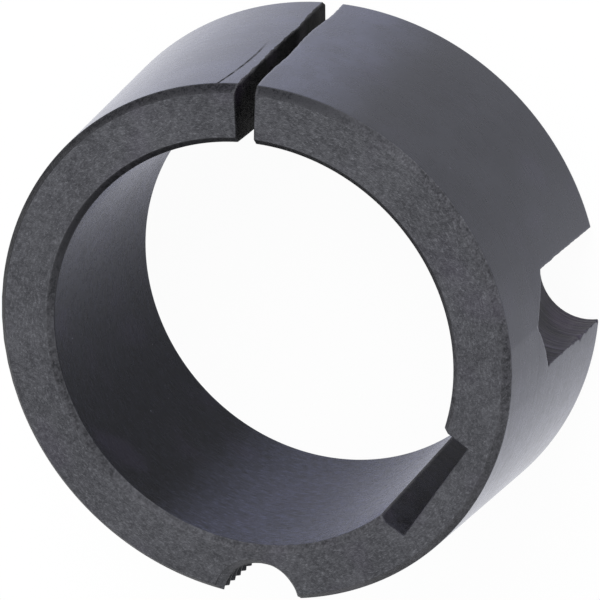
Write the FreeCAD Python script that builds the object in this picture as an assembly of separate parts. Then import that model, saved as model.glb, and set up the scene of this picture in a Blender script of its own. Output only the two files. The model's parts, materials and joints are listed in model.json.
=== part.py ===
import FreeCAD, Part
import math
import os

# Taper bush: a split, tapered cast-iron ring that grips a shaft when it is drawn into a hub.
# Millimetres. +Z runs along the shaft, from the large end face (z = 0) to the small end face,
# and the keyway is centred on +X. Angles turn about +Z from the keyway, in degrees.

# Overall sizes: the outside is the bore plus the ring's wall at its large end
length = 25.4
bore_radius = 21.0
large_end_wall = 7.575
large_end_radius = bore_radius + large_end_wall
taper_half_angle = 4.0

# Edge chamfers: how far each one runs across its end face, and how far along the bush
large_rim_across = 0.55
large_rim_along = 0.75
small_rim_across = 0.65
small_rim_along = 0.9
bore_rim_chamfer = 0.6

# Keyway: a shallow one, measured outwards from the crown of the bore
keyway_width = 12.0
keyway_depth = 2.2

# Split through one side of the ring
slot_width = 1.9
slot_angle = 123.4

# Two plain half-holes for the clamping screws, drilled blind from the large end
clamp_hole_diameter = 9.9
clamp_hole_end_metal = 11.0
clamp_hole_depth = length - clamp_hole_end_metal
clamp_hole_mouth_chamfer = 0.6
drill_point_angle = 118.0
first_clamp_angle = 38.9
clamp_hole_count = 2

# The half-holes' axes are parallel to the shaft, on one circle near the tapered outside,
# which leaves this much metal between a clamping hole and the bore
hole_to_bore_metal = 1.3
screw_circle_radius = bore_radius + hole_to_bore_metal + clamp_hole_diameter / 2

# One threaded half-hole right through, for the screw that pushes the bush off again.
# It is modelled at its core size, countersunk at both ends to the thread's outside diameter.
thread_outside_diameter = 9.525
thread_core_diameter = 7.9
thread_angle = -55.5

# How far every cutter runs past the metal that it cuts
cutter_overrun = 1.0


def outer_radius(height):
    """Radius of the tapered outside at a height above the large end face."""
    return large_end_radius - height * math.tan(math.radians(taper_half_angle))


def revolved(profile):
    """Solid of revolution about Z from a closed outline of (radius, height) points."""
    points = [FreeCAD.Vector(radius, 0, height) for radius, height in profile]
    outline = Part.makePolygon(points + points[:1])
    axis_point = FreeCAD.Vector(0, 0, 0)
    axis = FreeCAD.Vector(0, 0, 1)
    return Part.Face(outline).revolve(axis_point, axis, 360)


def turned(shape, angle):
    """The shape turned about the shaft's axis."""
    shape.rotate(FreeCAD.Vector(0, 0, 0), FreeCAD.Vector(0, 0, 1), angle)
    return shape


def on_screw_circle(cutter, angle):
    """A cutter made on the Z axis, moved to its place on the screws' circle."""
    cutter.translate(FreeCAD.Vector(screw_circle_radius, 0, 0))
    return turned(cutter, angle)


def tapered_ring():
    """The turned blank: cone outside, cylinder inside, and a chamfer on all four rims."""
    small_chamfer_start = length - small_rim_along
    return revolved([
        (bore_radius + bore_rim_chamfer, 0),
        (large_end_radius - large_rim_across, 0),
        (outer_radius(large_rim_along), large_rim_along),
        (outer_radius(small_chamfer_start), small_chamfer_start),
        (outer_radius(length) - small_rim_across, length),
        (bore_radius + bore_rim_chamfer, length),
        (bore_radius, length - bore_rim_chamfer),
        (bore_radius, bore_rim_chamfer),
    ])


def radial_slab(width, reach):
    """A flat-sided cutter from the shaft's axis out along +X, running past both end faces."""
    corner = FreeCAD.Vector(0, -width / 2, -cutter_overrun)
    return Part.makeBox(reach, width, length + 2 * cutter_overrun, corner)


def keyway():
    """Square-cornered slab that leaves a flat floor beyond the bore."""
    return radial_slab(keyway_width, bore_radius + keyway_depth)


def split():
    """Thin radial cut that lets the ring close on the shaft."""
    return turned(radial_slab(slot_width, large_end_radius + cutter_overrun), slot_angle)


def clamp_hole(angle):
    """Blind drilled hole with a chamfered mouth at the large end and the drill's cone inside."""
    radius = clamp_hole_diameter / 2
    mouth_radius = radius + clamp_hole_mouth_chamfer
    point_length = radius / math.tan(math.radians(drill_point_angle / 2))
    drill = revolved([
        (0, -cutter_overrun),
        (mouth_radius + cutter_overrun, -cutter_overrun),
        (mouth_radius, 0),
        (radius, clamp_hole_mouth_chamfer),
        (radius, clamp_hole_depth),
        (0, clamp_hole_depth + point_length),
    ])
    return on_screw_circle(drill, angle)


def threaded_hole(angle):
    """Through hole at the thread's core size, opened out at both mouths to its outside size."""
    outside = thread_outside_diameter / 2
    core = thread_core_diameter / 2
    countersink = outside - core
    cutter = revolved([
        (0, -cutter_overrun),
        (outside + cutter_overrun, -cutter_overrun),
        (outside, 0),
        (core, countersink),
        (core, length - countersink),
        (outside, length),
        (outside + cutter_overrun, length + cutter_overrun),
        (0, length + cutter_overrun),
    ])
    return on_screw_circle(cutter, angle)


def taper_bush():
    """The finished bush as one solid."""
    spacing = 360 / clamp_hole_count
    cutters = [keyway(), split(), threaded_hole(thread_angle)]
    for index in range(clamp_hole_count):
        cutters.append(clamp_hole(first_clamp_angle + index * spacing))
    return tapered_ring().cut(cutters).Solids[0]


os.makedirs("parts", exist_ok=True)
bush = taper_bush()
bush.exportStep("parts/taper_bush.step")
print(f"taper_bush: valid {bush.isValid()}, {len(bush.Faces)} faces, {bush.Volume / 1000:.2f} cm3")
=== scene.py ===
# %% [markdown]
# A taper bush is a split ring of cast iron, turned to a slight cone outside and bored straight
# inside. Screws pull it into a hub with the same taper, the slot closes, and the ring grips the
# shaft. This lesson builds the ring as one clean mesh from its own dimensions, gives every machined
# surface its own finish, and lights it softly on a pale floor.
#
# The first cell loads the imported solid. Its box is kept, because the model built here has to stay
# inside it, and its mounts say where the bore, the keyway and the half-holes are. Reading those
# places from the frame is safer than typing them twice.

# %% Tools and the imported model
import json
import math

import bmesh
import bpy
import numpy as np
from mathutils import Matrix, Vector, noise


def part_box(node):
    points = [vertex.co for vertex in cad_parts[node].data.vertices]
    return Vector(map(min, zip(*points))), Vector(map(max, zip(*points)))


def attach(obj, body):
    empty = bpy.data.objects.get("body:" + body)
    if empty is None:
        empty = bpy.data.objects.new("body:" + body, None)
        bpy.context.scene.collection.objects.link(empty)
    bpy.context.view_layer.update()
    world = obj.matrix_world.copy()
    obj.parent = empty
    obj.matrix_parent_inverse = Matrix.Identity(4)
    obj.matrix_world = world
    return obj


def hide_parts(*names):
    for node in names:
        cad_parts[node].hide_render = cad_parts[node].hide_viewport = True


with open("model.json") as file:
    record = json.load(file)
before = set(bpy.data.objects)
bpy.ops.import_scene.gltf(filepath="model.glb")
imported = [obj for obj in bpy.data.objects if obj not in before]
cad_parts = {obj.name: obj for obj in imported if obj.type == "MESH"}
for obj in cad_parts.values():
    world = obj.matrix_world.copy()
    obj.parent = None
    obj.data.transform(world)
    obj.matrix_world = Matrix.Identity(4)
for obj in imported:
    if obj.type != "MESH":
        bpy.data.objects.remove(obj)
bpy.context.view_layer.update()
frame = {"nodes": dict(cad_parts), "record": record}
mounts = {mount["name"]: mount for mount in frame["record"]["mounts"]}
print("packed model:", sorted(frame["nodes"]), "with", len(mounts), "mounts")

# %% [markdown]
# Every size is in millimetres until the mesh is made. The frame gives the overall sizes and the
# places. Only what it doesn't hold is typed: the taper, the chamfers and the sizes of the cuts.

# %% Sizes
MM = 1000.0
_, box_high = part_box("taper_bush")


def place(name):
    """Distance from the shaft's axis, in millimetres, and angle round it, in degrees, of a mount."""
    x, y, _ = mounts[name]["pos_m"]
    return math.hypot(x, y) * MM, math.degrees(math.atan2(y, x)) % 360


length = box_high.z * MM
widest_radius = box_high.x * MM
bore_radius = mounts["shaft_bore"]["dims"]["r_mm"]
bore_chamfer = (length - mounts["shaft_bore"]["dims"]["length_mm"]) / 2
keyway_floor = place("shaft_keyway")[0]
keyway_half_width = 6.0
slot_angle = 123.4

taper = math.tan(math.radians(4.0))
large_rim_along = 0.75
large_rim_across = 0.55 - large_rim_along * taper
small_rim_along = 0.9
small_rim_across = 0.65 + small_rim_along * taper

screw_circle, clamp_angle_1 = place("clamp_screw_hole_1")
clamp_angle_2 = place("clamp_screw_hole_2")[1]
thread_angle = place("removal_screw_hole")[1]
clamp_hole_radius = 4.95
clamp_hole_depth = 14.4
clamp_mouth_chamfer = 0.6
drill_point = math.tan(math.radians(59.0))
thread_core = 3.95
thread_outside = 4.7625
thread_pitch = 25.4 / 16

print(f"bush {2 * widest_radius:.2f} across, {length:.2f} long, bore {2 * bore_radius:.1f}")
print(f"half-holes at {clamp_angle_1:.1f}, {clamp_angle_2:.1f} and {thread_angle:.1f} degrees")

# %% [markdown]
# The ring's outside and bore are turned on a lathe, so each is a radius that depends on height
# alone. A cone and its two chamfers are three straight lines, and the part is wherever the smallest
# of them is. The bore takes the largest of its lines. Taking the mean over a short stretch rounds
# the corners between the lines, as a file or a tumbling drum leaves them. A real edge is never
# sharp, and the small round catches the thin bright line that makes metal look solid.

# %% Turned profiles
EDGE = 0.08
WORN_REACH = np.linspace(-0.055, 0.055, 9)


def outside_line(z):
    """Radius of the sharp-cornered outside at a height."""
    cone = widest_radius + (large_rim_along - z) * taper
    large_rim = widest_radius - (large_rim_along - z) * large_rim_across / large_rim_along
    small_rim_start = length - small_rim_along
    cone_end = widest_radius + (large_rim_along - small_rim_start) * taper
    small_rim = cone_end - (z - small_rim_start) * small_rim_across / small_rim_along
    return np.minimum(np.minimum(cone, large_rim), small_rim)


def bore_line(z):
    """Radius of the sharp-cornered bore at a height."""
    return np.maximum(bore_radius, bore_radius + bore_chamfer - np.minimum(z, length - z))


def clamp_hole_line(z):
    """Radius of a blind clamping hole: mouth chamfer, straight wall, then the drill's point."""
    mouth = clamp_hole_radius + clamp_mouth_chamfer - z
    point = clamp_hole_radius - (z - clamp_hole_depth) * drill_point
    return np.maximum(mouth, np.clip(point, 0.0, clamp_hole_radius))


def countersink_line(z):
    """Radius of the countersinks at the two mouths of the threaded hole."""
    return thread_outside - np.minimum(z, length - z)


def worn(line, z):
    """A sharp profile with its corners worn round."""
    return float(np.mean(line(z + WORN_REACH)))


def end_inset(z):
    """How far an upright wall draws back near an end face, to round the edge between the two."""
    into_edge = max(0.0, EDGE - min(z, length - z))
    return EDGE - math.sqrt(max(0.0, EDGE**2 - into_edge**2))


print(f"cone {worn(outside_line, 1.5):.2f} to {worn(outside_line, length - 1.5):.2f} in radius")

# %% [markdown]
# The slot is sawn through the ring and its edges are broken unevenly, so its two sides wander by a
# few tenths of a millimetre along the bush. A slow wave and one or two local bulges, written as
# formulas of height, give that hand-made look without a list of points. Smaller chips come from
# smooth noise, which is the same in every run. Each kind of edge has its usual size, how far the
# chips change that, and its wear.

# %% Uneven edges of the slot and the drilled holes
SLOT_HALF_LOW = 0.9
SLOT_HALF_HIGH = 0.93
SLOT_INNER_LOW = 0.87
SLOT_INNER_HIGH = 0.95
WAVE_DEPTH = 0.09
WAVE_LENGTH = 10.5
WAVE_CREST = 15.8
FOOT_DEPTH = 0.36
FOOT_START, FOOT_END = 2.0, 8.0
BULGE_DEPTH = 0.2
BULGE_HEIGHT = 8.0
BULGE_REACH = 1.5
FLARE_START = 24.0
FLARE_LOW = 0.08
FLARE_HIGH = 0.16
CHIPS_PER_MM, FINE_CHIPS_PER_MM = 0.9, 2.7
FINE_SHARE = 0.7
LEAST_CHIP = 0.3
EDGES_APART = 7.3
RAGGED_EDGE = (0.2, 3.4, 0.15)
DRILLED_EDGE = (0.1, 1.3, 0.5)
SLOT_OUTER_EDGE = (0.11, 1.3, 0.6)
SLOT_INNER_EDGE = (0.1, 0.8, 0.5)


def rise(value, start, end):
    """0 before the start and 1 after the end, with a smooth rise in between."""
    share = min(1.0, max(0.0, (value - start) / (end - start)))
    return share * share * (3 - 2 * share)


def slot_low_edge(z):
    """Half width of the slot at the cone, on its low-angle side."""
    wave = WAVE_DEPTH * math.cos(2 * math.pi * (z - WAVE_CREST) / WAVE_LENGTH)
    foot = FOOT_DEPTH * (1 - rise(z, FOOT_START, FOOT_END))
    return SLOT_HALF_LOW + wave + foot + FLARE_LOW * rise(z, FLARE_START, length)


def slot_high_edge(z):
    """Half width of the slot at the cone, on its high-angle side."""
    bulge = BULGE_DEPTH * math.exp(-(((z - BULGE_HEIGHT) / BULGE_REACH) ** 2))
    return SLOT_HALF_HIGH - bulge + FLARE_HIGH * rise(z, FLARE_START, length)


def chipped(z, edge_number, kind):
    """Size and wear of an upright edge of a kind, at a height."""
    usual, spread, wear = kind
    coarse = noise.noise(Vector((z * CHIPS_PER_MM, edge_number * EDGES_APART, 1.7)))
    fine = noise.noise(Vector((z * FINE_CHIPS_PER_MM, edge_number * EDGES_APART, 9.1)))
    return usual * max(LEAST_CHIP, 1 + spread * (coarse + FINE_SHARE * fine)), wear


print(f"slot {slot_low_edge(12.7) + slot_high_edge(12.7):.2f} wide at mid height")

# %% [markdown]
# The screw that pushes the bush off again turns in a right-hand thread, of which the bush carries
# half. A thread is a radius that depends on height and on the angle round the hole: the same
# triangle wave everywhere, pushed up by one pitch per turn. The wave is cut off at the core size,
# where the tap's drill went through, and at the roots. In this bush they are shallow: wear and the
# black finish have filled them well short of the thread's outside size.

# %% Thread form
THREAD_PHASE = 0.083
THREAD_DEPTH = 0.5
FLANK = 0.65


def thread_radius(z, way):
    """Radius of the threaded hole at a height, in the direction of an angle in degrees."""
    turn = z / thread_pitch - way / 360 + THREAD_PHASE
    wave = 1 - 4 * np.abs(turn % 1 - 0.5)
    cut = thread_core + THREAD_DEPTH * np.clip(0.5 + FLANK * wave, 0.0, 1.0)
    return np.maximum(cut, worn(countersink_line, z))


print(f"thread {THREAD_DEPTH:.2f} deep, {length / thread_pitch:.0f} turns")

# %% [markdown]
# Cutting holes out of a ring with Boolean modifiers is quick, but it leaves long thin faces and
# broken edges that shade badly. Here every level across the bush is one closed outline instead:
# along the cone, round a half-hole, along the cone again, in through the slot, round the bore and
# the keyway, and out through the slot. The levels all have the same number of points, so they stack
# into a clean skin of four-sided faces, with every edge as round as the maker wants it.
#
# On turned stretches the columns of points stand still, so that the cone stays perfectly smooth,
# and only those next to a moving edge ease towards it. Each upright corner is replaced by a small
# curve, whose size is the one of the chipped edge above.

# %% Pieces of an outline
SUPPORT = 0.22
EASE_SHARES = [0.38, 0.7]
CORNER_SHARES = np.array([[0.25], [0.5], [0.75]])
TINY = 1e-6
WORN_SIZE = 0.04
CORNER_LIMIT = 0.3
TURNED_LIMIT = 0.25
CUT_LIMIT = 0.12


def polar(radius, degrees):
    """Points at a radius and at angles round the shaft's axis."""
    angles = np.radians(degrees)
    return np.stack([radius * np.cos(angles), radius * np.sin(angles)], axis=-1)


def ease(edge, border, radius):
    """Angles from a moving edge towards the first column that stands still."""
    way = border - edge
    near = min(SUPPORT / max(abs(math.radians(way)) * radius, TINY), TURNED_LIMIT)
    return edge + way * np.array([0.0, near, *EASE_SHARES])


def turned_piece(name, radius, start, still, end):
    """A stretch of the cone or the bore. An end given as None stops at its last still column."""
    way = math.copysign(1.0, still[-1] - still[0])

    def sample(cut_start, cut_end):
        angles = [still]
        if start is not None:
            first = start + way * math.degrees(cut_start / radius)
            angles.insert(0, ease(first, still[0], radius))
        if end is not None:
            last = end - way * math.degrees(cut_end / radius)
            angles.append(ease(last, still[-1], radius)[::-1])
        return polar(radius, np.concatenate(angles))

    return name, sample, radius


def cut_piece(name, run, columns, point):
    """A wall of a cut, with its length. point(shares) gives places along it."""

    def sample(cut_start, cut_end):
        first = cut_start / max(run, TINY)
        last = 1 - cut_end / max(run, TINY)
        near = min(SUPPORT / max(run, TINY), CUT_LIMIT)
        middle = np.linspace(first + 2 * near, last - 2 * near, columns)
        return point(np.concatenate([[first, first + near], middle, [last - near, last]]))

    return name, sample, run


def join(pieces, corners):
    """One open outline: its points, the piece that each belongs to, and the wear at each.

    A corner is a size and a wear, which is 1 on an outer edge and 0 in an inner corner. Its
    points belong to the cut and not to the turned piece, so a chipped edge is as dark as the cut."""
    sizes = []
    for (size, _), before, after in zip(corners, pieces, pieces[1:]):
        sizes.append(min(size, CORNER_LIMIT * min(before[2], after[2])))
    cuts = [0.0, *sizes, 0.0]
    points, names, wear = [], [], []
    edge_wears = [w * min(1.0, size / WORN_SIZE) for (_, w), size in zip(corners, sizes)]
    for number, (name, sample, _) in enumerate(pieces):
        run = sample(cuts[number], cuts[number + 1])
        run_wear = np.zeros(len(run))
        if number:
            edge_wear = edge_wears[number - 1]
            start, sharp, share = points[-1][-1], sample(0.0, 0.0)[0], CORNER_SHARES
            points.append((1 - share) ** 2 * start + 2 * share * (1 - share) * sharp + share**2 * run[0])
            before = pieces[number - 1][0]
            names += [name if before in ("cone", "bore") else before] * len(share)
            wear.append(np.full(len(share), edge_wear))
            run_wear[0] = edge_wear
        if number < len(corners):
            run_wear[-1] = edge_wears[number]
        points.append(run)
        names += [name] * len(run)
        wear.append(run_wear)
    return np.concatenate(points), names, np.concatenate(wear)


# %% [markdown]
# A half-hole opens through the cone where its circle crosses the cone's circle. That angle follows
# from the triangle between the two centres and the crossing. For the thread the hole's radius
# depends on the angle that is looked for, so the sum is repeated until it settles. Near the drill's
# point the crossing closes, and the wall shrinks to a single point on the cone.

# %% Half-holes
CLAMP_COLUMNS = 28
THREAD_COLUMNS = 46
SETTLING_ROUNDS = 12


def opening(radius, outer):
    """Half the angle that a half-hole opens in the cone, and half the arc of its own wall."""
    share = (screw_circle**2 + outer**2 - radius**2) / (2 * screw_circle * outer)
    half = math.acos(min(1.0, share))
    return half, math.atan2(outer * math.sin(half), screw_circle - outer * math.cos(half))


def hole_wall_point(hole_angle, radius, turn):
    """Places on the wall of a half-hole, by the turn from its deepest line."""
    way = hole_angle + 180 - np.degrees(turn)
    return polar(screw_circle, hole_angle) + np.reshape(radius, (-1, 1)) * polar(1.0, way)


def clamp_wall(hole_angle, z, outer):
    """The wall of a clamping hole at a height, and half its opening in degrees."""
    radius = worn(clamp_hole_line, z)
    half, arc = opening(radius, outer)
    if half == 0.0:
        closed = polar(outer, hole_angle)
        meet = cut_piece("clamp_hole", 0.0, CLAMP_COLUMNS, lambda share: np.tile(closed, (len(share), 1)))
        return meet, 0.0

    def point(share):
        return hole_wall_point(hole_angle, np.full(len(share), radius), (2 * share - 1) * arc)

    return cut_piece("clamp_hole", 2 * arc * radius, CLAMP_COLUMNS, point), math.degrees(half)


def thread_edge(z, outer, side):
    """Opening angle and wall arc on one side of the threaded hole, in radians."""
    radius = thread_core
    for _ in range(SETTLING_ROUNDS):
        half, arc = opening(radius, outer)
        radius = float(thread_radius(z, thread_angle + 180 - side * math.degrees(arc)))
    return half, arc


half_opening = math.degrees(opening(clamp_hole_radius, widest_radius)[0])
print(f"a clamping hole opens {2 * half_opening:.1f} degrees of the cone")

# %% [markdown]
# The outline is made in two parts. The thread needs a level every tenth of a millimetre, and the
# rest of the bush would waste hundreds of thousands of faces on that. So one open outline crosses
# the threaded half-hole between two still borders, and the other goes all the way round the rest.

# %% The two outlines of a level
CONE_STEP = 1.5
BORE_STEP = 1.6
HOLE_BORDER = 14.0
THREAD_BORDER = 11.4
THREAD_BORDER_WIDTH = 0.5
SLOT_CONE_BORDER = 5.0
SLOT_BORE_BORDER = 7.0
KEYWAY_BORDER = 19.0
SLOT_COLUMNS = 9
KEYWAY_WALL_COLUMNS, KEYWAY_FLOOR_COLUMNS = 4, 8
KEYWAY_ROOT = (0.12, 0.0)
KEYWAY_EDGE = (0.09, 0.7)
THREAD_EDGE = (0.06, 0.4)
SLOT_FLARE = 1.3


def still_columns(start, end, step):
    """Evenly spaced angles from start to end, about a step apart."""
    return np.linspace(start, end, max(2, round(abs(end - start) / step) + 1))


def thread_outline(z):
    """Across the threaded half-hole, from its low border to its high one."""
    outer = worn(outside_line, z) - end_inset(z) / 2
    half_low, arc_low = thread_edge(z, outer, -1)
    half_high, arc_high = thread_edge(z, outer, 1)

    def point(share):
        turn = -arc_low + (arc_low + arc_high) * share
        radius = thread_radius(z, thread_angle + 180 - np.degrees(turn))
        return hole_wall_point(thread_angle, radius, turn)

    low, high = thread_angle - THREAD_BORDER, thread_angle + THREAD_BORDER
    low_border = np.array([low, low + THREAD_BORDER_WIDTH])
    high_border = np.array([high - THREAD_BORDER_WIDTH, high])
    pieces = [
        turned_piece("cone", outer, None, low_border, thread_angle - math.degrees(half_low)),
        cut_piece("thread", thread_core * (arc_low + arc_high), THREAD_COLUMNS, point),
        turned_piece("cone", outer, thread_angle + math.degrees(half_high), high_border, None),
    ]
    return join(pieces, [THREAD_EDGE, THREAD_EDGE])


def turn_of(offset, radius):
    """Angle in degrees between a line through the axis and a point beside it."""
    return math.degrees(math.asin(offset / radius))


def slot_wall(side, edge, inner_edge, inner, outer):
    """One wall of the slot: inwards from the cone on its low side (-1), outwards on the other."""
    along = polar(1.0, slot_angle)
    across = polar(1.0, slot_angle + 90)
    start = math.sqrt(inner**2 - inner_edge**2)
    end = math.sqrt(outer**2 - edge**2)

    def point(share):
        share = 1 - share if side < 0 else share
        share = share[:, None]
        offset = inner_edge + (edge - inner_edge) * share**SLOT_FLARE
        return (start + (end - start) * share) * along + side * offset * across

    return cut_piece("slot", end - start, SLOT_COLUMNS, point)


def main_outline(z):
    """Round the bush from the thread's high border, the long way, to its low border."""
    inset = end_inset(z)
    outer = worn(outside_line, z) - inset / 2
    inner = worn(bore_line, z) + inset / 2
    low, high = slot_low_edge(z) + inset, slot_high_edge(z) + inset
    inner_low, inner_high = SLOT_INNER_LOW + inset, SLOT_INNER_HIGH + inset
    key_half, floor = keyway_half_width + inset, keyway_floor + inset
    key_angle = turn_of(key_half, inner)
    crown = math.sqrt(inner**2 - key_half**2)
    wall_1, open_1 = clamp_wall(clamp_angle_1, z, outer)
    wall_2, open_2 = clamp_wall(clamp_angle_2, z, outer)

    def cone(start, still_start, still_end, end):
        return turned_piece("cone", outer, start, still_columns(still_start, still_end, CONE_STEP), end)

    def bore(start, still_start, still_end, end):
        return turned_piece("bore", inner, start, still_columns(still_start, still_end, BORE_STEP), end)

    def key_wall(side):
        def point(share):
            share = share if side > 0 else 1 - share
            x = crown + (floor - crown) * share
            return np.stack([x, np.full(len(x), side * key_half)], axis=-1)

        return cut_piece("keyway", floor - crown, KEYWAY_WALL_COLUMNS, point)

    def key_floor(share):
        return np.stack([np.full(len(share), floor), key_half * (1 - 2 * share)], axis=-1)

    first, last = thread_angle - 360 + THREAD_BORDER, thread_angle - THREAD_BORDER
    cone_low, cone_high = slot_angle - turn_of(low, outer), slot_angle + turn_of(high, outer)
    bore_low = slot_angle - turn_of(inner_low, inner)
    bore_high = slot_angle - 360 + turn_of(inner_high, inner)
    pieces = [
        cone(None, first, clamp_angle_1 - HOLE_BORDER, clamp_angle_1 - open_1),
        wall_1,
        cone(clamp_angle_1 + open_1, clamp_angle_1 + HOLE_BORDER, slot_angle - SLOT_CONE_BORDER, cone_low),
        slot_wall(-1, low, inner_low, inner, outer),
        bore(bore_low, slot_angle - SLOT_BORE_BORDER, KEYWAY_BORDER, key_angle),
        key_wall(1),
        cut_piece("keyway", 2 * key_half, KEYWAY_FLOOR_COLUMNS, key_floor),
        key_wall(-1),
        bore(-key_angle, -KEYWAY_BORDER, slot_angle + SLOT_BORE_BORDER - 360, bore_high),
        slot_wall(1, high, inner_high, inner, outer),
        cone(cone_high, slot_angle + SLOT_CONE_BORDER, clamp_angle_2 - HOLE_BORDER, clamp_angle_2 - open_2),
        wall_2,
        cone(clamp_angle_2 + open_2, clamp_angle_2 + HOLE_BORDER, last, None),
    ]
    corners = [
        chipped(z, 1, RAGGED_EDGE), chipped(z, 2, DRILLED_EDGE),
        chipped(z, 3, SLOT_OUTER_EDGE), chipped(z, 4, SLOT_INNER_EDGE),
        KEYWAY_EDGE, KEYWAY_ROOT, KEYWAY_ROOT, KEYWAY_EDGE,
        chipped(z, 5, SLOT_INNER_EDGE), chipped(z, 6, SLOT_OUTER_EDGE),
        chipped(z, 7, RAGGED_EDGE), chipped(z, 8, DRILLED_EDGE),
    ]
    return join(pieces, corners)


around, across = len(main_outline(12.7)[0]), len(thread_outline(12.7)[0])
print(around, "points round the bush and", across, "across the thread")

# %% [markdown]
# Levels crowd together where the shape turns: in the rounded end edges, at the corners of the
# chamfers and in the drill's point. Between these they are 0.3 mm apart along the drilled holes,
# whose edges are chipped, and half a millimetre apart above them.

# %% Levels
CORNER_STEPS = np.array([-0.16, -0.06, 0.0, 0.06, 0.16])
POINT_STEPS = np.linspace(0.4, 2.95, 12)
CLEAR_OF_END = 1.2
HOLE_STEP = 0.3
PLAIN_STEP = 0.5
THREAD_STEP = 0.1
LEAST_GAP, LEAST_THREAD_GAP = 0.012, 0.035
edge_rise = EDGE * (1 - np.sin(np.radians([90, 66, 44, 22, 0])))


def tidy_levels(levels, apart):
    """The levels in order, without those that lie closer than this to the one before."""
    kept = [0.0]
    for level in sorted(levels):
        if level - kept[-1] > apart and level < length - apart:
            kept.append(level)
    return np.array([*kept, length])


shape_levels = np.concatenate([
    edge_rise,
    length - edge_rise,
    bore_chamfer + CORNER_STEPS,
    length - bore_chamfer + CORNER_STEPS,
    large_rim_along + CORNER_STEPS,
    length - small_rim_along + CORNER_STEPS,
    clamp_hole_depth + CORNER_STEPS,
    clamp_hole_depth + POINT_STEPS,
])
along_holes = np.arange(CLEAR_OF_END, clamp_hole_depth + 3, HOLE_STEP)
above_holes = np.arange(clamp_hole_depth + 3.3, length - 1.4, PLAIN_STEP)
main_levels = tidy_levels(np.concatenate([shape_levels, along_holes, above_holes]), LEAST_GAP)
evenly = np.arange(0, length, THREAD_STEP)
fine = [z for z in evenly if np.min(np.abs(main_levels - z)) > LEAST_THREAD_GAP]
thread_levels = np.sort(np.concatenate([main_levels, fine]))
print(len(main_levels), "levels round the bush and", len(thread_levels), "in the thread")

# %% [markdown]
# Stitching joins the levels into faces. Next to the thread a tall face takes in all the close
# points of the border, so nothing gapes. Each face remembers which surface it belongs to, for the
# finishes further down, and each face corner stores how worn its edge is. That number is the only
# thing that the finishes need to know about the edges.

# %% Skin of the bush
SURFACES = ["end_face", "rim", "bore_rim", "cone", "bore", "keyway", "slot", "clamp_hole", "thread"]
RIM_WEAR = 0.45
RIM_WEAR_REACH = 0.14
worn_heights = {
    "cone": [0.0, large_rim_along, length - small_rim_along, length],
    "bore": [0.0, bore_chamfer, length - bore_chamfer, length],
}


def rim_wear(name, z):
    """Wear of the edges that run round the bush, at a height on one of its surfaces."""
    gap = min(abs(z - height) for height in worn_heights.get(name, [0.0, length]))
    return RIM_WEAR * max(0.0, 1 - gap / RIM_WEAR_REACH)


def surface_of(name, z):
    """Index of the surface that a face of this piece has at a height."""
    countersink = thread_outside - thread_core
    chamfered = {
        "cone": (large_rim_along, small_rim_along, "rim"),
        "bore": (bore_chamfer, bore_chamfer, "bore_rim"),
        "thread": (countersink, countersink, "end_face"),
    }
    at_large_end, at_small_end, rim_name = chamfered.get(name, (0.0, 0.0, name))
    into_end = min(z, length - z)
    if z < at_large_end or z > length - at_small_end:
        name = name if name == "thread" and into_end < EDGE else rim_name
    return SURFACES.index(name)


def stack(outline, levels):
    """Points and wear of an outline at every level, and the names of its columns."""
    rows, wear = [], []
    for z in levels:
        points, names, edge_wear = outline(z)
        rows.append(np.column_stack([points, np.full(len(points), z)]))
        wear.append([max(w, rim_wear(name, z)) for w, name in zip(edge_wear, names)])
    return np.array(rows), np.array(wear), names


main_rows, main_wear, main_names = stack(main_outline, main_levels)
thread_rows, thread_wear, thread_names = stack(thread_outline, thread_levels)
thread_index = np.arange(thread_rows.shape[0] * thread_rows.shape[1]).reshape(thread_rows.shape[:2])
fine_row = [int(np.argmin(np.abs(thread_levels - z))) for z in main_levels]
main_index = np.arange(main_rows.shape[0] * main_rows.shape[1]).reshape(main_rows.shape[:2])
main_index += thread_index.size
main_index[:, 0] = thread_index[fine_row, -1]
main_index[:, -1] = thread_index[fine_row, 0]
all_points = np.concatenate([thread_rows.reshape(-1, 3), main_rows.reshape(-1, 3)]) / MM
all_wear = np.concatenate([thread_wear.ravel(), main_wear.ravel()])

faces, surfaces = [], []


def add_skin(index, names, levels, first_column, last_column):
    """Four-sided faces between the levels of an outline, for a range of its columns."""
    for row in range(len(levels) - 1):
        middle = (levels[row] + levels[row + 1]) / 2
        for column in range(first_column, last_column):
            here, above = index[row], index[row + 1]
            faces.append([here[column], here[column + 1], above[column + 1], above[column]])
            surfaces.append(surface_of(names[column], middle))


last_column = main_rows.shape[1] - 1
add_skin(thread_index, thread_names, thread_levels, 0, thread_rows.shape[1] - 1)
add_skin(main_index, main_names, main_levels, 1, last_column - 1)
for row in range(len(main_levels) - 1):
    border = slice(fine_row[row], fine_row[row + 1] + 1)
    here, above = main_index[row], main_index[row + 1]
    middle = (main_levels[row] + main_levels[row + 1]) / 2
    faces.append([here[1], above[1], *thread_index[border, -1][::-1]])
    faces.append([above[last_column - 1], here[last_column - 1], *thread_index[border, 0]])
    surfaces += [surface_of("cone", middle)] * 2
for row, way in ((0, -1), (-1, 1)):
    rim = [*main_index[row], *thread_index[row, 1:-1]]
    faces.append(rim[::way])
    surfaces.append(SURFACES.index("end_face"))
print(len(faces), "faces before the closed half-holes are welded")

# %% [markdown]
# Blender makes the mesh from these lists. Welding points that lie in the same place removes the
# spare columns above the blind holes. Smooth shading with normals weighted by face area keeps the
# large surfaces exactly true and lets only the narrow rounded edges turn the light.

# %% The bush as a mesh
WELD = 1e-7


def in_scene(name, data):
    """A new object with this data, in the scene."""
    made = bpy.data.objects.new(name, data)
    bpy.context.scene.collection.objects.link(made)
    return made


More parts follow.
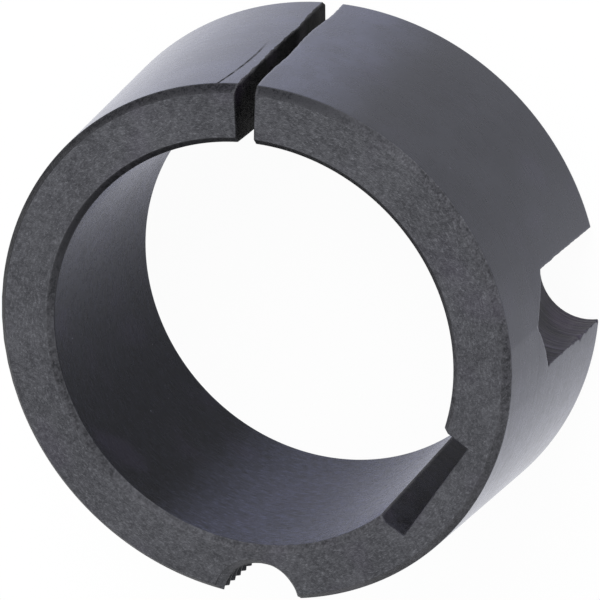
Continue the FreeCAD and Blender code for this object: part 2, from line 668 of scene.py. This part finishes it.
def make_bush():
    """The skinned bush as a Blender object."""
    mesh = bpy.data.meshes.new("taper_bush_skin")
    mesh.from_pydata([tuple(point) for point in all_points], [], [list(map(int, face)) for face in faces])
    mesh.polygons.foreach_set("material_index", surfaces)
    wear = mesh.attributes.new("edge_wear", "FLOAT", "CORNER")
    corner_wear = []
    for face, surface in zip(faces, surfaces):
        flat = SURFACES[surface] == "end_face"
        corner_wear += [0.0] * len(face) if flat else [float(all_wear[point]) for point in face]
    wear.data.foreach_set("value", corner_wear)
    work = bmesh.new()
    work.from_mesh(mesh)
    bmesh.ops.remove_doubles(work, verts=work.verts, dist=WELD)
    bmesh.ops.delete(work, geom=[v for v in work.verts if not v.link_faces], context="VERTS")
    work.to_mesh(mesh)
    open_edges = sum(1 for edge in work.edges if not edge.is_manifold)
    volume = work.calc_volume() * MM**3
    work.free()
    mesh.shade_smooth()
    bush = in_scene("machined_taper_bush", mesh)
    weights = bush.modifiers.new("true_surfaces", "WEIGHTED_NORMAL")
    weights.weight = 100
    print(f"{len(mesh.polygons)} faces, {open_edges} open edges, volume {volume / 1000:.2f} cm3")
    return bush


bush = make_bush()
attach(bush, "root")
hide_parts("taper_bush")

# %% [markdown]
# Finishes are built from small node groups, each one an effect that several surfaces share. A group
# has named inputs, such as a size or an amount, and gives out values that change over the surface.
# The helpers here only save typing: they make a group with its sockets, a node, a sum, a product, a
# mixed colour, a stretched range, the place in millimetres and a noise.

# %% Helpers for shader nodes
def new_group(name, inputs, outputs):
    """An empty shader group with float inputs (name: value) and typed outputs."""
    group = bpy.data.node_groups.new(name, "ShaderNodeTree")
    for label, value in inputs.items():
        socket = group.interface.new_socket(label, in_out="INPUT", socket_type="NodeSocketFloat")
        socket.default_value = value
    for label, kind in outputs.items():
        group.interface.new_socket(label, in_out="OUTPUT", socket_type="NodeSocket" + kind)
    return group, group.nodes.new("NodeGroupInput").outputs, group.nodes.new("NodeGroupOutput").inputs


def add(tree, kind, inputs=None, **settings):
    """A shader node with its settings, and its inputs given as values or linked sockets."""
    node = tree.nodes.new("ShaderNode" + kind)
    for label, value in settings.items():
        setattr(node, label, value)
    for label, value in (inputs or {}).items():
        if isinstance(value, bpy.types.NodeSocket):
            tree.links.new(value, node.inputs[label])
        else:
            node.inputs[label].default_value = value
    return node


def sum_of(tree, operation, first, second=0.0, third=0.0, clamp=False):
    """The output of a math node."""
    node = add(tree, "Math", {0: first, 1: second, 2: third}, operation=operation, use_clamp=clamp)
    return node.outputs[0]


def product(tree, value, *factors):
    """A value times one or more factors."""
    for factor in factors:
        value = sum_of(tree, "MULTIPLY", value, factor)
    return value


def mixed(tree, share, first, second):
    """A colour mixed from two others."""
    return add(tree, "Mix", {0: share, 6: first, 7: second}, data_type="RGBA").outputs[2]


def placed(tree, group, **values):
    """The outputs of a group placed in a tree. Underscores in the names stand for spaces."""
    inputs = {label.replace("_", " "): value for label, value in values.items()}
    return add(tree, "Group", inputs, node_tree=group).outputs


def ranged(tree, value, low, high, start=0.0, end=1.0, smooth=False):
    """A value that runs from start to end while the given one runs from low to high."""
    inputs = {"Value": value, "From Min": low, "From Max": high, "To Min": start, "To Max": end}
    kind = "SMOOTHSTEP" if smooth else "LINEAR"
    return add(tree, "MapRange", inputs, interpolation_type=kind).outputs[0]


def place_in_mm(tree):
    """The place on the bush, in millimetres."""
    in_metres = add(tree, "TexCoord").outputs["Object"]
    return add(tree, "VectorMath", {0: in_metres, "Scale": MM}, operation="SCALE").outputs[0]


def noise_at(tree, vector, scale, detail, roughness=0.5):
    """The value of a noise at a place."""
    inputs = {"Vector": vector, "Scale": scale, "Detail": detail, "Roughness": roughness}
    return add(tree, "TexNoise", inputs).outputs["Fac"]


print("shader helpers ready")

# %% [markdown]
# Lathe marks run round the bush: they change quickly along it and hardly at all round it. Noise
# read from a squeezed position does the same. On the end faces the tool feeds across the face, so
# there the quick direction is the distance from the axis. One input chooses between the two. The
# crests of the same noise, cut off from the rest, are the short pale dashes of a faced surface.

# %% Turning marks
def build_turning_marks():
    group, given, out = new_group(
        "Turning marks", {"Pitch": 0.3, "Run": 6.0, "Across face": 0.0},
        {"Marks": "Float", "Dashes": "Float"},
    )
    x, y, z = add(group, "SeparateXYZ", {0: place_in_mm(group)}).outputs
    flat = add(group, "CombineXYZ", {0: x, 1: y}).outputs[0]
    radius = add(group, "VectorMath", {0: flat}, operation="LENGTH").outputs["Value"]
    along = add(group, "Mix", {0: given["Across face"], 2: z, 3: radius}).outputs[0]
    quick = sum_of(group, "DIVIDE", along, given["Pitch"])
    slow_x = sum_of(group, "DIVIDE", x, given["Run"])
    slow_y = sum_of(group, "DIVIDE", y, given["Run"])
    squeezed = add(group, "CombineXYZ", {0: slow_x, 1: slow_y, 2: quick}).outputs[0]
    marks = noise_at(group, squeezed, 1.0, 3.0, 0.6)
    group.links.new(ranged(group, marks, 0.3, 0.7), out["Marks"])
    group.links.new(ranged(group, marks, 0.54, 0.7), out["Dashes"])
    return group


turning_marks = build_turning_marks()
print("turning marks:", len(turning_marks.nodes), "nodes")

# %% [markdown]
# The black finish is a phosphate bath that grows fine crystals on the iron. It takes unevenly:
# pale specks well under a millimetre across, soft patches some millimetres wide, and a faint purple
# tint in places. Noises at different sizes, each stretched by its own range, give the masks. A
# second group paints light or shade into the colour on one side of the ring. That is a smooth
# function of the angle round the shaft, full round the middle of the side and gone at its reach.

# %% Phosphate mottle and painted side shading
# How much of the reach the painted light and shade on one side of the ring stays full.
SIDE_SHADING_FULL = 0.4


def build_phosphate_mottle():
    group, given, out = new_group(
        "Phosphate mottle",
        {"Speck size": 0.6, "Patch size": 6.0, "Grain size": 0.12},
        {"Specks": "Float", "Flecks": "Float", "Patches": "Float", "Grain": "Float", "Tint": "Float"},
    )
    in_mm = place_in_mm(group)

    def cloud(size, detail, low, high, shift):
        moved = add(group, "VectorMath", {0: in_mm, 1: (shift, -shift, shift)}, operation="ADD").outputs[0]
        value = noise_at(group, moved, sum_of(group, "DIVIDE", 1.0, size), detail)
        return ranged(group, value, low, high, smooth=True)

    fine = cloud(given["Speck size"], 2.0, 0.35, 0.75, 0.0)
    coarse = cloud(product(group, given["Speck size"], 2.7), 3.0, 0.3, 0.75, 17.0)
    flakes = product(group, sum_of(group, "ADD", fine, coarse), 0.5)
    group.links.new(flakes, out["Specks"])
    group.links.new(cloud(given["Speck size"], 2.0, 0.56, 0.74, 43.0), out["Flecks"])
    group.links.new(cloud(given["Patch size"], 2.0, 0.35, 0.7, 31.0), out["Patches"])
    group.links.new(cloud(given["Grain size"], 1.0, 0.25, 0.75, 57.0), out["Grain"])
    group.links.new(cloud(given["Patch size"], 1.0, 0.52, 0.75, 83.0), out["Tint"])
    return group


# Painted light and shade: a mask that is 1 on one side of the ring, where the colour stands in for light or
# shade.
def build_painted_side_shading():
    group, given, out = new_group("Painted side shading", {"Middle": 0.0, "Reach": 60.0}, {"Side": "Float"})
    x, y, _ = add(group, "SeparateXYZ", {0: place_in_mm(group)}).outputs
    flat = add(group, "CombineXYZ", {0: x, 1: y}).outputs[0]
    way = add(group, "VectorMath", {0: flat}, operation="NORMALIZE").outputs[0]
    middle = sum_of(group, "RADIANS", given["Middle"])
    middle_x = sum_of(group, "COSINE", middle)
    middle_y = sum_of(group, "SINE", middle)
    towards = add(group, "CombineXYZ", {0: middle_x, 1: middle_y}).outputs[0]
    facing = add(group, "VectorMath", {0: way, 1: towards}, operation="DOT_PRODUCT").outputs["Value"]
    reach = sum_of(group, "RADIANS", given["Reach"])
    gone = sum_of(group, "COSINE", reach)
    full = sum_of(group, "COSINE", product(group, reach, SIDE_SHADING_FULL))
    group.links.new(ranged(group, facing, gone, full, smooth=True), out["Side"])
    return group


phosphate_mottle = build_phosphate_mottle()
painted_side_shading = build_painted_side_shading()
print("phosphate mottle:", len(phosphate_mottle.nodes), "nodes")
print("painted side shading:", len(painted_side_shading.nodes), "nodes")

# %% [markdown]
# Edges lose the black finish first. The mesh carries a number that is 1 on every outer edge and
# fades to 0 beside it. Noise breaks it up, so that the bare line comes and goes as it does on a
# part that has been handled.

# %% Worn edges
def build_worn_edges():
    group, given, out = new_group("Worn edges", {"Amount": 0.6, "Break up": 0.5}, {"Wear": "Float"})
    stored = add(group, "Attribute", attribute_name="edge_wear").outputs["Fac"]
    uneven = ranged(group, noise_at(group, place_in_mm(group), 0.9, 3.0), 0.35, 0.65)
    broken = add(group, "Mix", {0: given["Break up"], 2: 1.0, 3: uneven}).outputs[0]
    group.links.new(product(group, stored, broken, given["Amount"]), out["Wear"])
    return group


worn_edges = build_worn_edges()
print("worn edges:", len(worn_edges.nodes), "nodes")

# %% [markdown]
# Handling leaves marks. One long hair-thin scratch runs down the cone beside the slot, bending
# slightly. A few short dark ticks lie scattered over the machined surfaces, and so do some pale
# grains of dust. The scratch is the distance to a curve written as a formula of height. Ticks and
# grains are the middles of a few cells in a cell pattern, which is stretched for the ticks.

# %% Scratch, ticks and dust
SCRATCH_ANGLE = 128.05
SCRATCH_BEND = 2.1
SCRATCH_MIDDLE = 15.5
SCRATCH_REACH = 9.3
SCRATCH_RADIUS = 27.5
SCRATCH_DARK, SCRATCH_GONE = 0.07, 0.17
FADE_START, FADE_END = 12.5, 16.0
TICK_STRETCH = (1.0, 1.0, 0.35)
DUST_SCALE = 0.45


def build_handling_marks():
    group, given, out = new_group(
        "Handling marks", {"Scratch": 0.0, "Ticks": 0.5, "Tick spacing": 4.0},
        {"Marks": "Float", "Dust": "Float"},
    )
    in_mm = place_in_mm(group)
    x, y, z = add(group, "SeparateXYZ", {0: in_mm}).outputs
    angle = product(group, sum_of(group, "ARCTAN2", y, x), math.degrees(1))
    from_middle = sum_of(group, "DIVIDE", sum_of(group, "SUBTRACT", z, SCRATCH_MIDDLE), SCRATCH_REACH)
    bend = product(group, from_middle, from_middle, SCRATCH_BEND)
    off = sum_of(group, "SUBTRACT", angle, sum_of(group, "ADD", bend, SCRATCH_ANGLE))
    off_mm = product(group, sum_of(group, "ABSOLUTE", off), math.radians(1) * SCRATCH_RADIUS)
    line = ranged(group, off_mm, SCRATCH_DARK, SCRATCH_GONE, 1.0, 0.0)
    fade = ranged(group, z, FADE_START, FADE_END)
    broken = ranged(group, noise_at(group, in_mm, 0.8, 2.0), 0.3, 0.6, 0.35)
    scratch = product(group, line, fade, broken, given["Scratch"])

    def spots(vector, scale, inner, outer, channel, share_left_out):
        cells = add(group, "TexVoronoi", {"Vector": vector, "Scale": scale})
        near = ranged(group, cells.outputs["Distance"], inner, outer, 1.0, 0.0)
        draw = add(group, "SeparateColor", {0: cells.outputs["Color"]}).outputs[channel]
        return product(group, near, sum_of(group, "GREATER_THAN", draw, share_left_out))

    stretched = add(group, "VectorMath", {0: in_mm, 1: TICK_STRETCH}, operation="MULTIPLY").outputs[0]
    tick_scale = sum_of(group, "DIVIDE", 1.0, given["Tick spacing"])
    ticks = product(group, spots(stretched, tick_scale, 0.015, 0.04, 0, 0.6), given["Ticks"])
    group.links.new(sum_of(group, "MAXIMUM", scratch, ticks, clamp=True), out["Marks"])
    group.links.new(spots(in_mm, DUST_SCALE, 0.02, 0.04, 1, 0.7), out["Dust"])
    return group


handling_marks = build_handling_marks()
print("handling marks:", len(handling_marks.nodes), "nodes")

# %% [markdown]
# Every surface of the bush is the same blackened iron, so one recipe makes all the finishes, and
# the values say how each was machined. The phosphate layer hides most of the metal. So the colour
# is a dark base with pale masks added to it, and only a small metallic share on the turned surfaces
# lets the iron below gleam, a little bluish. After the bath the bush is oiled. The oil film is the
# shader's coat, thin and bluish too, and in the bore it breaks into streaks along the lathe marks.

# %% Recipe for blackened iron
OIL_ROUGHNESS = 0.22
BLUISH = (0.86, 0.88, 1.0, 1.0)
OIL_TINT = (0.86, 0.875, 1.0, 1.0)
PURPLE = (0.06, 0.045, 0.075, 1.0)
BARE_IRON = (0.16, 0.16, 0.17, 1.0)
DUST = (0.4, 0.4, 0.42, 1.0)
SCRATCHED = (0.003, 0.003, 0.004, 1.0)
DUST_SHARE = 0.6
# Painted light and shade on one side: its least strength, and how it grows with the pale masks.
PAINTED_SIDE_SHARE, PAINTED_SIDE_BY_LIGHTNESS = 0.3, 1.4
SPECK_ROUGHNESS = 0.12
MARK_ROUGHNESS = 0.1
SCRATCH_ROUGHNESS = 0.5
SCRATCH_HEIGHT = -0.06


def layered(tree, value, layers, clamp=False):
    """A value with masks added to it, each times its own amount."""
    for mask, amount in layers:
        value = sum_of(tree, "MULTIPLY_ADD", mask, amount, value, clamp=clamp)
    return value


def blackened_iron(
    name, base, pale, roughness, gloss, specks=0.3, speck_size=0.6, patches=0.2, flecks=0.0, tint=0.2,
    marks=0.0, dashes=0.0, marks_pitch=0.3, marks_run=6.0, across_face=0.0, marks_bump=0.01,
    grain_bump=0.02, wear=0.5, metal=0.0, oil=0.0, oil_index=1.25, oil_streaks=0.0, scratch=0.0,
    ticks=0.4, side=None,
):
    """A finish of the bush. base and pale are its dark and light colours, gloss its specular level.

    side is a middle angle, a reach, a share and a colour: light or shade painted on one side."""
    material = bpy.data.materials.new(name)
    material.use_nodes = True
    tree = material.node_tree
    shader = tree.nodes["Principled BSDF"]
    mottle = placed(tree, phosphate_mottle, Speck_size=speck_size)
    turning = placed(tree, turning_marks, Pitch=marks_pitch, Run=marks_run, Across_face=across_face)
    lines = turning["Marks"]
    handling = placed(tree, handling_marks, Scratch=scratch, Ticks=ticks)
    handled = handling["Marks"]
    edges = placed(tree, worn_edges, Amount=wear)["Wear"]

    pale_masks = [
        (mottle["Specks"], specks), (mottle["Patches"], patches), (mottle["Flecks"], flecks),
        (turning["Dashes"], dashes), (lines, marks),
    ]
    lightness = layered(tree, 0.0, pale_masks, clamp=True)
    colour = mixed(tree, lightness, (*base, 1.0), (*pale, 1.0))
    colour = mixed(tree, product(tree, mottle["Tint"], tint), colour, PURPLE)
    # Painted light and shade: on one side of the ring the colour is mixed towards a lighter or darker one
    # that stands in for light or shade there.
    if side:
        middle, reach, share, painted_side_colour = side
        painted_side = placed(tree, painted_side_shading, Middle=middle, Reach=reach)["Side"]
        uneven = layered(tree, PAINTED_SIDE_SHARE, [(lightness, PAINTED_SIDE_BY_LIGHTNESS)])
        colour = mixed(tree, product(tree, painted_side, uneven, share), colour, (*painted_side_colour, 1.0))
    colour = mixed(tree, edges, colour, BARE_IRON)
    colour = mixed(tree, product(tree, handling["Dust"], DUST_SHARE), colour, DUST)
    colour = mixed(tree, handled, colour, SCRATCHED)
    tree.links.new(colour, shader.inputs["Base Color"])

    rough_masks = [
        (mottle["Specks"], SPECK_ROUGHNESS), (lines, MARK_ROUGHNESS), (handled, SCRATCH_ROUGHNESS),
    ]
    tree.links.new(layered(tree, roughness, rough_masks, clamp=True), shader.inputs["Roughness"])
    heights = [(mottle["Grain"], grain_bump), (lines, marks_bump), (handled, SCRATCH_HEIGHT)]
    bump = add(tree, "Bump", {"Height": layered(tree, 0.0, heights), "Distance": 1 / MM, "Strength": 1.0})
    tree.links.new(bump.outputs["Normal"], shader.inputs["Normal"])
    if oil:
        film = layered(tree, oil - oil_streaks, [(lines, oil_streaks)])
        film = product(tree, film, sum_of(tree, "SUBTRACT", 1.0, handled))
        tree.links.new(film, shader.inputs["Coat Weight"])
    constants = {
        "Specular IOR Level": gloss, "Metallic": metal, "Specular Tint": BLUISH,
        "Coat IOR": oil_index, "Coat Roughness": OIL_ROUGHNESS, "Coat Tint": OIL_TINT,
    }
    for label, value in constants.items():
        shader.inputs[label].default_value = value
    return material


print("recipe ready")

# %% [markdown]
# The end faces are fed across in the lathe and then dulled by the bath: dark grey with many pale
# specks. The cone and the bore are finished finely and keep a bluish satin gloss, with painted
# bluish light on one side: the cone's beside the slot, the bore's opposite it. The chamfers are
# short cuts with small, close crystals, with painted shade on the side of the slot. The keyway and
# the slot are rough and nearly black, and the drilled and threaded half-holes lie in between.

# %% Finishes of the bush
finishes = {
    "end_face": blackened_iron(
        "faced_end", (0.02, 0.02, 0.0215), (0.119, 0.12, 0.129), 0.5, 0.4,
        specks=0.46, patches=0.1, tint=0.15, speck_size=0.26, flecks=0.2, dashes=0.42,
        marks=0.12, marks_pitch=0.18, marks_run=0.4, marks_bump=0.004,
        across_face=1.0, grain_bump=0.03,
    ),
    "rim": blackened_iron(
        "chamfered_rim", (0.014, 0.014, 0.015), (0.1, 0.1, 0.109), 0.45, 0.16,
        specks=0.75, speck_size=0.2, wear=0.35, flecks=0.4,
        # Painted shade: the rim is darkened on the side of the slot.
        side=(slot_angle + 38, 76.0, 1.0, (0.003, 0.003, 0.004)),
    ),
    "bore_rim": blackened_iron(
        "chamfered_bore_rim", (0.014, 0.014, 0.015), (0.095, 0.095, 0.103), 0.5, 0.15,
        specks=0.8, speck_size=0.2, wear=0.35, flecks=0.3,
        # Painted shade: the bore's chamfer is darkened on the side of the slot.
        side=(slot_angle, 95.0, 0.85, (0.006, 0.006, 0.007)),
    ),
    "cone": blackened_iron(
        "turned_cone", (0.013, 0.013, 0.013), (0.045, 0.045, 0.045), 0.2, 0.1,
        specks=0.2, patches=0.15, tint=0.1, marks=0.1, marks_pitch=0.35, marks_bump=0.001, ticks=0.9,
        grain_bump=0.004, oil=1.0, oil_index=1.22, scratch=1.0, metal=0.2,
        # Painted light: the cone is lighter and bluer beside the slot.
        side=(slot_angle + 16, 44.0, 0.68, (0.11, 0.115, 0.15)),
    ),
    "bore": blackened_iron(
        "bored_inside", (0.001, 0.001, 0.001), (0.012, 0.012, 0.012), 0.15, 0.04,
        specks=0.2, patches=0.1, tint=0.15, marks=0.65, dashes=0.35, marks_pitch=0.2, marks_run=0.85,
        marks_bump=0.012, grain_bump=0.01, wear=0.4, oil=1.0, oil_index=1.07, oil_streaks=0.75,
        # Painted light: the bore is lighter and bluer on the side opposite the slot.
        metal=0.08, ticks=0.9, side=(-40.0, 50.0, 0.64, (0.072, 0.074, 0.094)),
    ),
    "keyway": blackened_iron(
        "cut_keyway", (0.003, 0.003, 0.005), (0.038, 0.038, 0.052), 0.45, 0.12,
        specks=0.7, speck_size=0.4, patches=0.1, wear=0.6, grain_bump=0.03,
    ),
    "slot": blackened_iron(
        "sawn_slot", (0.001, 0.001, 0.0015), (0.006, 0.006, 0.007), 0.5, 0.05,
        specks=0.5, wear=0.6, grain_bump=0.05,
    ),
    "clamp_hole": blackened_iron(
        "drilled_half_hole", (0.001, 0.001, 0.002), (0.07, 0.064, 0.09), 0.42, 0.2,
        specks=0.1, tint=0.5, marks=0.5, dashes=0.65, marks_pitch=0.4, marks_run=14.0, marks_bump=0.06,
    ),
    "thread": blackened_iron(
        "tapped_half_hole", (0.01, 0.01, 0.011), (0.055, 0.055, 0.06), 0.4, 0.2,
        specks=0.4,
    ),
}
for surface in SURFACES:
    bush.data.materials.append(finishes[surface])
print(len(bush.data.materials), "finishes")

# %% [markdown]
# The floor is plain and pale. What the camera sees of it, directly or mirrored in the bush, is
# mostly white, and the rest is its own lit colour, so that the bush keeps a soft shadow. The light
# is a pale surrounding, brighter on the side of the slot, with one large soft lamp above the slot,
# as over a photographer's table.

# %% Floor and light
FLOOR_SIZE = 6.0
FLOOR_GAP = 0.00005
FLOOR_COLOUR = (0.9, 0.9, 0.9, 1.0)
FLOOR_ROUGHNESS = 0.9
WHITE_SHARE = 0.96
BRIGHT_AZIMUTH = 110.0
DIM_LEVEL = 0.6
BRIGHT_LEVEL = 1.1
DIM_COLOUR = (1.0, 1.0, 1.0, 1.0)
BRIGHT_COLOUR = (0.92, 0.94, 1.0, 1.0)


def make_floor():
    """A wide pale floor just under the bush."""
    mesh = bpy.data.meshes.new("floor")
    half = FLOOR_SIZE / 2
    corners = [(-half, -half), (half, -half), (half, half), (-half, half)]
    mesh.from_pydata([(x, y, -FLOOR_GAP) for x, y in corners], [], [(0, 1, 2, 3)])
    floor = in_scene("floor", mesh)
    material = bpy.data.materials.new("pale_floor")
    material.use_nodes = True
    tree = material.node_tree
    shader = tree.nodes["Principled BSDF"]
    shader.inputs["Base Color"].default_value = FLOOR_COLOUR
    shader.inputs["Roughness"].default_value = FLOOR_ROUGHNESS
    shader.inputs["Specular IOR Level"].default_value = 0.0
    path = add(tree, "LightPath").outputs
    seen = sum_of(tree, "MAXIMUM", path["Is Camera Ray"], path["Is Glossy Ray"])
    seen = sum_of(tree, "MAXIMUM", seen, path["Is Transmission Ray"])
    white = add(tree, "Emission", {"Strength": 1.0})
    blend = add(tree, "MixShader", {0: product(tree, seen, WHITE_SHARE)})
    tree.links.new(shader.outputs[0], blend.inputs[1])
    tree.links.new(white.outputs[0], blend.inputs[2])
    tree.links.new(blend.outputs[0], tree.nodes["Material Output"].inputs["Surface"])
    mesh.materials.append(material)


def direction(azimuth, elevation):
    """The unit vector towards an azimuth and an elevation in degrees."""
    across, up = math.radians(azimuth), math.radians(elevation)
    return Vector((math.cos(across) * math.cos(up), math.sin(across) * math.cos(up), math.sin(up)))


def make_lamp(name, azimuth, elevation, distance, size, power):
    """A square soft lamp that faces the bush."""
    lamp = bpy.data.lights.new(name, "AREA")
    lamp.size = size
    lamp.energy = power
    way = direction(azimuth, elevation)
    holder = in_scene(name, lamp)
    holder.location = way * distance + Vector((0, 0, length / 2 / MM))
    holder.rotation_euler = way.to_track_quat("Z", "Y").to_euler()


def make_surrounding():
    """A pale surrounding, brighter and a little bluer on the side of the slot."""
    world = bpy.data.worlds.new("even_studio")
    world.use_nodes = True
    tree = world.node_tree
    way = add(tree, "TexCoord").outputs["Generated"]
    towards = direction(BRIGHT_AZIMUTH, 0.0)
    facing = add(tree, "VectorMath", {0: way, 1: towards}, operation="DOT_PRODUCT").outputs["Value"]
    share = ranged(tree, facing, -1.0, 1.0)
    level = sum_of(tree, "MULTIPLY_ADD", share, BRIGHT_LEVEL - DIM_LEVEL, DIM_LEVEL)
    background = tree.nodes["Background"]
    tree.links.new(mixed(tree, share, DIM_COLOUR, BRIGHT_COLOUR), background.inputs["Color"])
    tree.links.new(level, background.inputs["Strength"])
    bpy.context.scene.world = world


make_floor()
make_lamp("soft_lamp", azimuth=125.0, elevation=40.0, distance=0.6, size=0.4, power=3.0)
make_surrounding()
bpy.context.scene.view_settings.view_transform = "Standard"
print("floor, lamp and surrounding ready")

# %% [markdown]
# The camera stands where a photographer would for a portrait of the small end: high over it, with
# a long lens, and turned about its own axis so that the slot comes to the top. It is placed by two
# angles, a distance and a turn, which are easier to judge than a matrix.

# %% Camera
CAMERA_AZIMUTH = 79.1125
CAMERA_ELEVATION = 61.7325
CAMERA_DISTANCE = 0.455955
CAMERA_TURN = 132.753
CAMERA_LENS = 271.926
SENSOR_WIDTH = 36.0
CAMERA_AIM = Vector((0.000149, 0.001043, length / 2 / MM))


def make_camera():
    """The camera, looking at the middle of the bush."""
    camera = in_scene("camera", bpy.data.cameras.new("camera"))
    camera.data.lens = CAMERA_LENS
    camera.data.sensor_width = SENSOR_WIDTH
    way = direction(CAMERA_AZIMUTH, CAMERA_ELEVATION)
    facing = way.to_track_quat("Z", "Y").to_matrix().to_4x4()
    turn = Matrix.Rotation(-math.radians(CAMERA_TURN), 4, "Z")
    camera.matrix_world = Matrix.Translation(CAMERA_AIM + way * CAMERA_DISTANCE) @ facing @ turn
    bpy.context.scene.camera = camera
    return camera


camera = make_camera()
print("camera at", [round(value * MM, 1) for value in camera.location])
